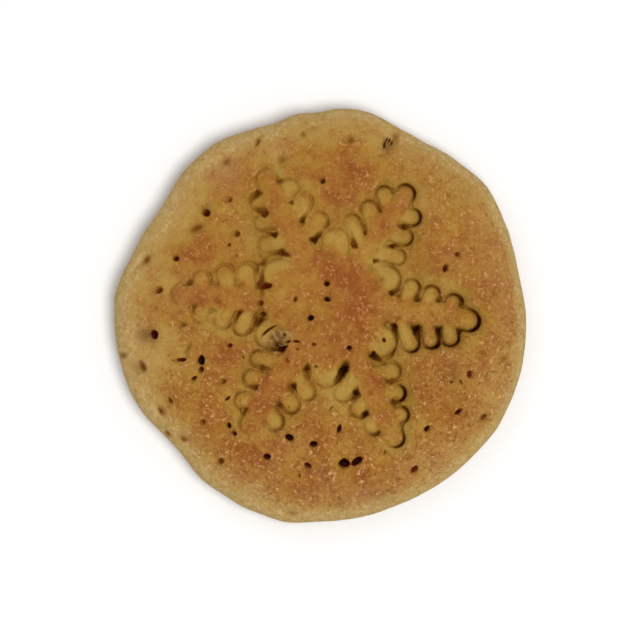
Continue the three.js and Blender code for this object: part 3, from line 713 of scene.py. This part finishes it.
# ---- Pricks, cuts and dents ----
def prick_relief(x, y):
    """How far pricks, cuts and dents sink the dough, and how dark each point is painted: shade in them,
    darkest where deepest, and the paste at the bottom of the darkest pricks.
    """
    rng = np.random.default_rng(SEED)
    uneven = plan_waves(x, y, "prick")
    sink = np.zeros_like(x)
    down = np.zeros_like(x)
    for *ellipse, deep, tint in PRICKS:
        at_x, at_y, long, wide, _ = ellipse
        heading = math.atan2(-at_y, -at_x) + rng.uniform(-PRICK_STRAY, PRICK_STRAY)
        off_x, off_y = math.cos(heading), math.sin(heading)
        rim = ellipse_reach(x, y, ellipse) + uneven
        slant = PRICK_SLANT * wide
        core = ellipse_reach(x - slant * off_x, y - slant * off_y, ellipse) + uneven
        drag = PRICK_DRAG * long
        beside = ellipse_reach(x + drag * off_x, y + drag * off_y, ellipse) + uneven
        inside = smoothstep(*PRICK_WALL, rim) * (1 - PRICK_SLOPE * smoothstep(0.1, 1.2, core))
        dent = PRICK_DIP * bump(rim, 2.0) + PRICK_DENT * min(deep, DENT_MOST) * bump(beside, 1.3)
        sink = np.maximum(sink, deep * inside) + dent * (1 - inside)
        bottom = smoothstep(1.4, 0.25 + 0.5 * tint**2, core) * smoothstep(1.5, 0.9, rim)
        down = np.maximum(down, np.maximum(tint * bottom, PRICK_DENT_SHADE * bump(beside, 1.2)))
    for *ellipse, deep, bow in CUTS:
        inside = smoothstep(*CUT_WALL, ellipse_reach(x, y, ellipse, bow) + uneven)
        sink = np.maximum(sink, deep * inside)
        down = np.maximum(down, inside * min(1.0, deep / CUT_FULL_SHADE_DEPTH))
    for *ellipse, deep in DENTS:
        sink = sink + DENT_DEPTH * deep * bump(ellipse_reach(x, y, ellipse) + uneven, 1.1)
        # Painted shadow in the dent, shifted towards the lower right.
        off = DENT_SHADOW_SHIFT * ellipse[3]
        core = ellipse_reach(x - off, y + off, ellipse) + uneven
        down = np.maximum(down, DENT_SHADE * deep * bump(core, 1.0))
    return sink, down


# ---- The sheet's points ----
def prick_rings():
    """Rings of the sheet's points round every prick."""
    for at_x, at_y, long, wide, turn, *_ in PRICKS:
        for share in PRICK_RINGS:
            angles = np.arange(PRICK_SIDES if share else 1) / PRICK_SIDES * 2 * math.pi
            across = share * long / 2 * np.cos(angles), share * wide / 2 * np.sin(angles)
            off_x, off_y = turned(*across, turn)
            yield np.column_stack(plan_to_sheet(at_x + off_x, at_y + off_y))


def sheet_points():
    """Points of the flat sheet: a hex lattice thinned where less is needed, and rings round pricks."""
    row_step = FINE_STEP * math.sqrt(3) / 2
    rows = int(SHEET_RADIUS / row_step) + 2
    columns = int(SHEET_RADIUS / FINE_STEP * 1.6)  # more than the rows, because they slant
    j, i = np.meshgrid(np.arange(-rows, rows + 1), np.arange(-columns, columns + 1))
    j = j.ravel()
    i = i.ravel()
    sheet = np.column_stack([FINE_STEP * (i + 0.5 * j), row_step * j])
    inside = np.hypot(sheet[:, 0], sheet[:, 1]) < SHEET_RADIUS - HEM_GAP
    sheet, i, j = sheet[inside], i[inside], j[inside]
    place, station = round_surface(sheet)
    x, y = place[:, 0], place[:, 1]
    outside, _ = stamp_distance(x, y)
    fine = (outside > FINE_BAND[0]) & (outside < FINE_BAND[1])
    fine |= nearest(ellipse_reach(x, y, row[:5], row[6]) for row in CUTS) < FINE_CUT
    fine |= nearest(bar_distance(x, y, bar) for bar, *_ in wedges()) < FINE_WEDGE
    fine |= wrinkle_distance(x, y) < FINE_WRINKLE
    on_crown = (np.hypot(x, y) < CROWN_REACH) & (station < 1)
    either = i | j
    keep = fine | (on_crown & (either % 2 == 0)) | (either % 4 == 0)
    keep &= nearest(ellipse_reach(x, y, row[:5]) for row in PRICKS) >= PRICK_RINGS[-1] + PRICK_ROOM
    angles = np.arange(HEM_POINTS) / HEM_POINTS * 2 * math.pi
    hem = SHEET_RADIUS * np.column_stack([np.cos(angles), np.sin(angles)])
    return np.vstack([sheet[keep], *prick_rings(), hem])


def face_normals(points, faces):
    a, b, c = (points[faces[:, n]] for n in range(3))
    return np.cross(b - a, c - a)


def point_normals(points, faces):
    normals = np.zeros_like(points)
    across = face_normals(points, faces)
    for corner in range(3):
        np.add.at(normals, faces[:, corner], across)
    return normals / np.linalg.norm(normals, axis=1, keepdims=True)


def triangulate(points):
    """Flat points as merged by Blender, and their Delaunay triangles, which all look up."""
    verts, _, faces, *_ = delaunay_2d_cdt([Vector(p) for p in points.tolist()], [], [], 0, MERGE_WITHIN)
    points = np.array([v[:] for v in verts])
    faces = np.array(faces)
    down = face_normals(points, faces) < 0
    faces[down] = faces[down][:, ::-1]
    return points, faces


# ---- The dough ----
def dough_shape():
    """Points, faces and per-point looks of the whole closed cookie."""
    sheet, faces = triangulate(sheet_points())
    plain, station = round_surface(sheet)
    x, y = plain[:, 0], plain[:, 1]
    on_top = station < 1
    stamp_sink, groove, shade, outside = stamp_relief(x, y)
    prick_sink, down = prick_relief(x, y)
    relief = smoothstep(2.0, 1.6, station) * (waves(plain, "dough") - DOUGH_LOW)
    blister = BLISTER_HEIGHT * bump(ellipse_reach(x, y, BLISTER), 0.8)
    blister *= 1 + waves(plain * BLISTER_STRETCH, "blister")
    sink = np.maximum(stamp_sink * (1 - BLISTER_FILL * blister), prick_sink)
    sink += BOTH_SINK * np.minimum(stamp_sink, prick_sink)
    away = wrinkle_distance(x, y) + plan_waves(x, y, "wrinkle")
    wrinkle = np.where(on_top, bump(np.clip(away, 0, None), WRINKLE_WIDTH), 0)
    points = plain + point_normals(plain, faces) * relief[:, None]
    points[:, 2] += np.where(on_top, blister + WRINKLE_HEIGHT * wrinkle - sink, 0)
    points[:, 2] = np.maximum(points[:, 2], 0)

    looks = crust_looks(plain, station, outside, down)
    # Painted shade in the groove and beside it; the darker olive patches join the shade beside it.
    looks["groove"] = np.clip(groove, 0, MOST_DARK)
    looks["shade"] = np.clip(shade + field(x, y, DARK_OLIVE_PATCHES), 0, MOST_DARK)
    looks["wrinkle"] = wrinkle
    looks["dusty"] += np.where(outside > RIM_FROM, WRINKLE_DUST * wrinkle, 0)

    hem = np.flatnonzero(np.hypot(sheet[:, 0], sheet[:, 1]) > SHEET_RADIUS - 0.01)
    base, base_faces, base_looks = base_shape(sheet[hem] / SHEET_RADIUS)
    corners = np.concatenate([hem, len(points) + np.arange(len(base))])
    faces = np.vstack([faces, corners[base_faces][:, ::-1]])
    for name, values in looks.items():
        looks[name] = np.concatenate([values, base_looks.get(name, np.zeros(len(base)))])
    return np.vstack([points, base]), faces, looks


def base_shape(hem):
    """The sheet under the cookie: its own points, the faces (the hem's points come first in
    them), and looks."""
    steps = np.arange(-RADIUS, RADIUS, BASE_STEP)
    grid_x, grid_y = np.meshgrid(steps, steps)
    grid_x = grid_x + BASE_STEP / 4 * (np.arange(len(steps)) % 2)[:, None]
    inner = np.column_stack([grid_x.ravel(), grid_y.ravel()]) / RADIUS
    inner = inner[np.hypot(inner[:, 0], inner[:, 1]) < 1 - BASE_STEP / RADIUS]
    theta = np.arctan2(inner[:, 1], inner[:, 0])
    x, y = (inner * (FOOT * outline_radius(theta))[:, None]).T
    pits = np.clip(plan_waves(x, y, "base"), 0, None)
    points = np.column_stack([x, y, pits])
    _, faces = triangulate(np.vstack([hem, inner]))
    bake = BASE_BAKE + waves(points, "base_bake")
    # The base's hollows get painted shade, darker where deeper.
    return points, faces, {"bake": bake, "pit_shade_and_paste": pits, "rough": np.full(len(x), BASE_ROUGH)}


def crust_looks(plain, station, outside, down):
    """Per-point amounts that the crust's material reads."""
    x, y = plain[:, 0], plain[:, 1]
    theta = np.arctan2(y, x)
    inward = outline_radius(theta) - np.hypot(x, y)
    pale_width = PALE_WIDTH - PALE_LEAN * np.cos(theta - math.radians(PALE_BEARING))
    pale = smoothstep(1.0, 0.15, np.where(station > 1, 0, inward) / pale_width + waves(plain, "pale"))
    ragged = waves(plain, "ragged")
    inside = smoothstep(0.5, -0.3, outside)
    hub = smoothstep(13, 10, np.hypot(x - STAMP_X, y - STAMP_Y) + ragged)
    spine = np.maximum(smoothstep(1.0, -0.9, spine_distance(x, y) + ragged), hub)
    ring = smoothstep(0.2, 0.5, outside) * smoothstep(3.2, 0.8, outside + ragged)
    bake = BAKE_MEAN + waves(plain, "bake")
    bake += BAKE_PATCH * field(x, y, PATCHES) - BAKE_PALE * field(x, y, PALE_PATCHES)
    bake += inside * (BAKE_SPINE * spine - BAKE_LOBE * (1 - spine)) - BAKE_RING * ring
    bake *= 1 - BAKE_RIM * pale
    dusty = smoothstep(9.0, 2.5, np.where(station > 1, 9, inward) + waves(plain, "dusty"))
    rough = ROUGH_MEAN + 0.26 * smoothstep(14, -8, y) + 0.14 * smoothstep(-14, -32, y)
    rough *= 1 - ROUGH_STAMP * inside
    rough += 0.15 * smoothstep(10, 26, x) - 0.1 * smoothstep(-14, -26, x)
    on_top = smoothstep(1.15, 0.98, station)
    return {
        "bake": np.clip(bake, 0, 1.2),
        "pit_shade_and_paste": np.clip(down, 0, 1) * on_top,
        "pale": pale,
        "bruise": np.clip(field(x, y, BRUISES), 0, 1) * on_top,
        "dusty": dusty + DUST_PATCH * field(x, y, DUSTY_PATCHES),
        "rough": rough * (1 - ROUGH_RIM * pale),
    }


# ---- Materials ----
def colour(red, green, blue):
    """A linear colour from screen values of 0 to 255."""
    return (*(((value / 255 + 0.055) / 1.055) ** 2.4 for value in (red, green, blue)), 1.0)


# Ramps: a place from 0 to 1 and the screen colour there. The first is by how browned the crust is.
CRUST_RAMP = [
    (0.0, (169, 135, 67)), (0.28, (161, 126, 54)), (0.52, (155, 109, 41)),
    (0.78, (147, 92, 35)), (1.0, (135, 73, 27)),
]
# Painted shade in the groove, the slots and the torn holes, by how dark it is.
GROOVE_SHADE_RAMP = [
    (0.0, (140, 100, 34)), (0.3, (124, 82, 20)), (0.55, (104, 60, 8)),
    (0.8, (74, 32, 2)), (1.0, (38, 12, 2)),
]
# Painted shade in pricks, cuts, dents and the base's hollows, by how dark; the darkest end is also the
# paste's own colour.
PIT_SHADE_AND_PASTE_RAMP = [
    (0.0, (142, 100, 38)), (0.25, (124, 82, 24)), (0.45, (108, 56, 6)),
    (0.7, (90, 27, 2)), (0.85, (64, 12, 0)), (1.0, (20, 3, 0)),
]
DUST = colour(194, 154, 108)
NEAR_RIM = colour(176, 136, 78)
RIM = colour(185, 157, 102)
FLOUR = colour(206, 178, 128)
OLIVE = colour(158, 128, 58)
PALE_FLECKS_AND_HIGHLIGHTS = colour(208, 159, 98), colour(214, 187, 138)  # pale crumbs, partly painted highlights on their ridges; on the crown and at the rim
# Dark flecks: partly darker crumb, partly painted shade between the pale ridges.
DARK_FLECK_AND_SHADE = colour(112, 70, 16)
BRUISE = colour(88, 58, 36)
# Beside the groove: partly the olive of less browned dough, partly painted shade; also the colour of the
# darker olive patches.
PAINTED_SHADE_AND_OLIVE = colour(120, 82, 20)
# Cream along the wrinkles' ridges, partly their own colour and partly painted highlight.
WRINKLE_CREAM_AND_HIGHLIGHT = colour(168, 136, 84)
PASTE = colour(16, 3, 0), colour(58, 16, 5)
STRAND = colour(152, 120, 76), colour(110, 82, 50)
FLOOR = (0.86, 0.86, 0.86, 1), (0.88, 0.88, 0.88, 1)
FLECK_NOISE = {"wavelength": 0.65, "detail": 1.7, "distortion": 0.7, "stretch": 1.4}
FLECK_TURNS = (25, 115)
MILLIMETRES = 1000  # in a metre


class Nodes:
    """A material's node tree with short ways to add to it."""

    def __init__(self, name, specular=None):
        self.material = bpy.data.materials.new(name)
        self.material.use_nodes = True
        self.tree = self.material.node_tree
        self.shader = self.tree.nodes["Principled BSDF"]
        if specular is not None:
            self.shader.inputs["Specular IOR Level"].default_value = specular

    def link(self, value, socket):
        """Give a socket a number, a colour or what comes out of another node."""
        if isinstance(value, bpy.types.NodeSocket):
            self.tree.links.new(value, socket)
        else:
            socket.default_value = value

    def add(self, kind, inputs, output=0, **settings):
        """A new node's output, after its settings and its inputs are made."""
        node = self.tree.nodes.new(kind)
        for name, value in settings.items():
            setattr(node, name, value)
        for name, value in inputs.items():
            self.link(value, node.inputs[name])
        return node.outputs[output]

    def finish(self, base, roughness, bump=None, metres=0.0):
        """Give the shader its colour, its roughness and a bump so many metres high."""
        self.link(base, self.shader.inputs["Base Color"])
        self.link(roughness, self.shader.inputs["Roughness"])
        if bump is not None:
            normal = self.add("ShaderNodeBump", {"Height": bump, "Distance": metres, "Strength": 1.0})
            self.link(normal, self.shader.inputs["Normal"])
        return self.material

    def attribute(self, name):
        return self.add("ShaderNodeAttribute", {}, "Fac", attribute_name=name)

    def noise(self, wavelength, detail=2.0, roughness=0.5, distortion=0.0, turn=0, stretch=1.0):
        """Noise in millimetres, turned and then stretched along its first axis."""
        place = self.add("ShaderNodeTexCoord", {}, "Object")
        mapping = {"Vector": place, "Rotation": (0, 0, math.radians(turn)), "Scale": (MILLIMETRES,) * 3}
        place = self.add("ShaderNodeMapping", mapping, vector_type="POINT")
        squeeze = {0: place, 1: (1 / stretch, 1, 1)}
        inputs = {
            "Vector": self.add("ShaderNodeVectorMath", squeeze, operation="MULTIPLY"),
            "Scale": 1 / wavelength,
            "Detail": detail,
            "Roughness": roughness,
            "Distortion": distortion,
        }
        return self.add("ShaderNodeTexNoise", inputs, "Fac")

    def maths(self, operation, first, second, clamp=False):
        return self.add("ShaderNodeMath", {0: first, 1: second}, operation=operation, use_clamp=clamp)

    def times(self, first, *others):
        """The product of all, multiplied one after the other."""
        return reduce(lambda so_far, other: self.maths("MULTIPLY", so_far, other), others, first)

    def plus(self, first, second):
        return self.maths("ADD", first, second)

    def swing(self, wavelength, detail, roughness, share):
        """Noise about zero."""
        return self.times(self.maths("SUBTRACT", self.noise(wavelength, detail, roughness), 0.5), share)

    def spread(self, value, low, high, to_low=0.0, to_high=1.0):
        inputs = {"Value": value, "From Min": low, "From Max": high, "To Min": to_low, "To Max": to_high}
        return self.add("ShaderNodeMapRange", inputs, "Result", interpolation_type="SMOOTHSTEP")

    def mix(self, share, first, second):
        inputs = {"Factor": share, "A": first, "B": second}
        return self.add("ShaderNodeMix", inputs, "Result", data_type="RGBA")

    def ramp(self, value, stops):
        tint = self.add("ShaderNodeValToRGB", {"Fac": value}, "Color")
        elements = tint.node.color_ramp.elements
        while len(elements) < len(stops):
            elements.new(0.5)
        for element, (at, shade) in zip(elements, stops):
            element.position = at
            element.color = colour(*shade)
        return tint


def crust_material():
    n = Nodes("crust", specular=0.06)
    pale, pit_shade_and_paste, rough, groove = (n.attribute(name) for name in ("pale", "pit_shade_and_paste", "rough", "groove"))
    unevenness = n.plus(n.swing(2.6, 2, 0.45, 0.9), n.swing(0.7, 2, 0.5, 0.08))
    tone = n.plus(n.attribute("bake"), unevenness)
    browned = n.spread(tone, 0.15, 0.55, 0.5, 1.0)
    crust = n.ramp(tone, CRUST_RAMP)
    crust = n.mix(n.times(n.attribute("dusty"), 0.17), crust, DUST)
    crust = n.mix(n.times(n.spread(pale, 0.0, 0.6), 0.35), crust, NEAR_RIM)
    ragged = n.plus(pale, n.swing(1.4, 3, 0.65, 1.5))
    crust = n.mix(n.spread(ragged, 0.5, 1.4, 0.0, 0.85), crust, RIM)
    flour = n.spread(n.noise(0.9, 3, 0.7), 0.5, 0.68)
    crust = n.mix(n.times(flour, n.spread(pale, 0.1, 0.8, 0.0, 0.55)), crust, FLOUR)
    olive = n.spread(n.noise(1.3, 3, 0.6), 0.48, 0.34)
    crust = n.mix(n.times(olive, n.spread(pale, 0.1, 0.8, 0.0, 0.6)), crust, OLIVE)
    one_way, other_way = (n.noise(turn=turn, **FLECK_NOISE) for turn in FLECK_TURNS)
    fleck = n.spread(n.maths("MAXIMUM", one_way, other_way), 0.54, 0.72)
    clusters = n.spread(n.noise(2.6), 0.36, 0.62, 0.25, 1.0)
    fleck = n.times(fleck, n.times(clusters, browned), rough)
    broken = n.times(fleck, n.spread(n.noise(0.45, 1.5), 0.32, 0.58, 0.45, 1.0))
    # Pale flecks, partly painted highlights on the crumb's ridges, and dark flecks, partly painted shade
    # between them.
    crust = n.mix(broken, crust, n.mix(pale, *PALE_FLECKS_AND_HIGHLIGHTS))
    darker = n.spread(n.maths("MINIMUM", one_way, other_way), 0.43, 0.26, 0.0, 0.75)
    crust = n.mix(n.times(darker, browned, rough), crust, DARK_FLECK_AND_SHADE)
    crust = n.mix(n.times(n.attribute("bruise"), 0.8), crust, BRUISE)
    # Painted shade beside the groove, with the darker olive patches.
    crust = n.mix(n.maths("MULTIPLY", n.attribute("shade"), 0.5, clamp=True), crust, PAINTED_SHADE_AND_OLIVE)
    # Cream along the wrinkles' ridges, partly painted highlight.
    crust = n.mix(n.times(n.attribute("wrinkle"), 0.6), crust, WRINKLE_CREAM_AND_HIGHLIGHT)
    # Painted shade in the groove, the slots and the torn holes.
    crust = n.mix(n.spread(groove, 0.0, 0.5), crust, n.ramp(groove, GROOVE_SHADE_RAMP))
    # Painted shade down pricks, cuts and dents, and the paste at the bottom of the darkest.
    crust = n.mix(n.spread(pit_shade_and_paste, 0.0, 0.5), crust, n.ramp(pit_shade_and_paste, PIT_SHADE_AND_PASTE_RAMP))
    height = n.plus(n.times(n.noise(0.7, 3, 0.65), rough), n.times(fleck, 0.4))
    return n.finish(crust, n.spread(n.noise(1.2), 0.3, 0.7, 0.55, 0.72), height, 0.0004)


def paste_material():
    n = Nodes("date_paste", specular=0.03)
    sheen = n.spread(n.noise(0.5), 0.3, 0.7, 0.3, 0.5)
    return n.finish(n.mix(n.noise(0.7, 3), *PASTE), sheen, n.noise(0.4, 3), 0.0002)


def strand_material():
    n = Nodes("strand_dough", specular=0.1)
    return n.finish(n.mix(n.noise(0.6), *STRAND), 0.6, n.noise(0.3, 3), 0.0001)


def floor_material():
    n = Nodes("floor")
    return n.finish(n.mix(n.noise(60), *FLOOR), 0.9)


# ---- Pieces ----
def plan_middle():
    """Middle of the outline's bounding box in the plan, and its width."""
    theta = np.linspace(-math.pi, math.pi, OUTLINE_STEPS)
    radius = outline_radius(theta)
    x, y = radius * np.cos(theta), radius * np.sin(theta)
    middle = np.array([(x.min() + x.max()) / 2, (y.min() + y.max()) / 2])
    return middle, x.max() - x.min()


MIDDLE, WIDTH = plan_middle()
UNIT = (cad_high.x - cad_low.x) / WIDTH
ROUND_AT = (cad_low + cad_high) / 2


def mesh_piece(name, points, faces, material, smooth=True):
    mesh = bpy.data.meshes.new(name)
    mesh.from_pydata(np.asarray(points).tolist(), [], faces)
    mesh.materials.append(material)
    mesh.polygons.foreach_set("use_smooth", [smooth] * len(mesh.polygons))
    mesh.update()
    piece = bpy.data.objects.new(name, mesh)
    bpy.context.scene.collection.objects.link(piece)
    return piece


def cookie_piece(name, points, faces, material):
    """A piece of the cookie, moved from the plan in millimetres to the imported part's frame."""
    placed = np.array(points, float)
    placed[:, :2] -= MIDDLE
    placed *= UNIT
    placed[:, :2] += ROUND_AT[:2]
    placed[:, 2] += cad_low.z
    piece = mesh_piece(name, placed, faces, material)
    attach(piece, "root")
    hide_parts("cookie")
    return piece


def make_cookie():
    points, faces, looks = dough_shape()
    piece = cookie_piece("cookie_dough", points, faces.tolist(), crust_material())
    for name, values in looks.items():
        attribute = piece.data.attributes.new(name, "FLOAT", "POINT")
        attribute.data.foreach_set("value", values.astype(np.float32))
    return points


def height_at(points, x, y):
    """Height of the cookie's surface, read from its nearest point."""
    gap = np.hypot(points[:, 0] - x, points[:, 1] - y) + np.where(points[:, 2] > GIRTH_Z, 0, RADIUS)
    return points[np.argmin(gap), 2]


def tube_faces(first, rings, sides):
    """Faces round the rings of points that begin at the first one."""
    faces = []
    for here in range(first, first + (rings - 1) * sides, sides):
        for side in range(sides):
            after = (side + 1) % sides
            faces.append((here + side, here + after, here + sides + after, here + sides + side))
    return faces


def lump(rng, middle, half_sizes, turn, rings=7, sides=12):
    """An uneven closed blob: points and faces."""
    points = [(0, 0, 1)]
    for ring in range(1, rings):
        polar = math.pi * ring / rings
        for side in range(sides):
            around = 2 * math.pi * side / sides
            uneven = 1 + rng.uniform(-PASTE_UNEVEN, PASTE_UNEVEN)
            across = math.sin(polar) * uneven
            points.append((across * math.cos(around), across * math.sin(around), math.cos(polar) * uneven))
    points.append((0, 0, -1))
    last = len(points) - 1
    faces = [(a, d, c, b) for a, b, c, d in tube_faces(1, rings - 1, sides)]
    for side in range(sides):
        after = (side + 1) % sides
        faces.append((0, 1 + side, 1 + after))
        faces.append((last, last - sides + after, last - sides + side))
    x, y, z = (np.array(points) * half_sizes).T
    return np.column_stack([*turned(x, y, turn), z]) + middle, faces


def make_paste(dough):
    """Date paste showing at the bottom of the darkest pricks and in the tear."""
    rng = np.random.default_rng(SEED)
    rows = [row[:5] for row in PRICKS if row[6] >= PASTE_FROM] + TEAR_PASTE
    points = np.empty((0, 3))
    faces = []
    for x, y, long, wide, turn in rows:
        middle = np.array([x, y, height_at(dough, x, y)])
        half_sizes = PASTE_SHARE * long, PASTE_SHARE * wide, PASTE_HALF_HEIGHT
        blob, blob_faces = lump(rng, middle, half_sizes, turn)
        faces += [tuple(corner + len(points) for corner in face) for face in blob_faces]
        points = np.vstack([points, blob])
    cookie_piece("date_paste", points, faces, paste_material())


def make_strands(dough):
    """Thin strands of dough, each a round tube with closed ends."""
    rng = np.random.default_rng(SEED)
    angles = 2 * math.pi * np.arange(STRAND_SIDES)[:, None] / STRAND_SIDES
    points = np.empty((0, 3))
    faces = []
    for way in STRANDS:
        spread = np.linspace(0, len(way) - 1, STRAND_STEPS * len(way))
        plan = np.column_stack([np.interp(spread, range(len(way)), axis) for axis in zip(*way)])
        first = len(points)
        for step, ((x, y), (ahead, beside)) in enumerate(zip(plan, np.gradient(plan, axis=0))):
            end = min(step, len(plan) - 1 - step)
            radius = STRAND_RADIUS * min(1, 0.35 + 0.3 * end)
            radius *= rng.uniform(1 - STRAND_UNEVEN, 1 + STRAND_UNEVEN)
            middle = np.array([x, y, height_at(dough, x, y) + 0.6 * STRAND_RADIUS])
            across = np.array([-beside, ahead, 0]) / math.hypot(ahead, beside)
            ring = np.cos(angles) * across + np.sin(angles) * np.array([0, 0, 1])
            points = np.vstack([points, middle + radius * ring])
        faces += tube_faces(first, len(plan), STRAND_SIDES)
        faces.append(tuple(range(first, first + STRAND_SIDES))[::-1])
        faces.append(tuple(range(len(points) - STRAND_SIDES, len(points))))
    cookie_piece("dough_strands", points, faces, strand_material())


dough_points = make_cookie()
make_paste(dough_points)
make_strands(dough_points)

# ---- Floor, light and camera ----
FLOOR_HALF = 2.0
FLOOR_LEVEL = -0.00005  # just under the base, so that the two don't share a plane
ROOM_STRENGTH = 0.52
# Lamps: name, place, size and power.
LAMPS = [("key", (0.18, -0.11, 0.82), 0.4, 4.9), ("fill", (-0.35, 0.4, 0.7), 0.6, 0.6)]
CAMERA_HEIGHT = 1.2
VIEW_WIDTH = 0.1248  # of what the camera sees at the height of the cookie's outline
VIEW_BELOW = 0.00078
OUTLINE_LEVEL = 0.4  # height of the outline as a share of the cookie's


def make_floor():
    ways = (-1, -1), (1, -1), (1, 1), (-1, 1)
    corners = [(x * FLOOR_HALF, y * FLOOR_HALF, FLOOR_LEVEL) for x, y in ways]
    floor = mesh_piece("floor", corners, [(0, 1, 2, 3)], floor_material(), smooth=False)


def make_light(name, place, size, power):
    data = bpy.data.lights.new(name, "AREA")
    data.shape = "DISK"
    data.size = size
    data.energy = power
    lamp = bpy.data.objects.new(name, data)
    lamp.location = place
    lamp.rotation_euler = (-Vector(place)).to_track_quat("-Z", "Y").to_euler()
    bpy.context.scene.collection.objects.link(lamp)


def make_world():
    world = bpy.data.worlds.new("soft_room")
    world.use_nodes = True
    background = world.node_tree.nodes["Background"]
    background.inputs["Color"].default_value = (1, 1, 1, 1)
    background.inputs["Strength"].default_value = ROOM_STRENGTH
    bpy.context.scene.world = world


def make_camera():
    data = bpy.data.cameras.new("camera")
    level = cad_low.z + (cad_high.z - cad_low.z) * OUTLINE_LEVEL
    data.lens = data.sensor_width * (CAMERA_HEIGHT - level) / VIEW_WIDTH
    data.clip_end = 10
    camera = bpy.data.objects.new("camera", data)
    camera.location = (ROUND_AT.x, ROUND_AT.y - VIEW_BELOW, CAMERA_HEIGHT)
    bpy.context.scene.collection.objects.link(camera)
    bpy.context.scene.camera = camera


make_floor()
make_world()
for lamp in LAMPS:
    make_light(*lamp)
make_camera()
bpy.context.scene.view_settings.view_transform = "Standard"
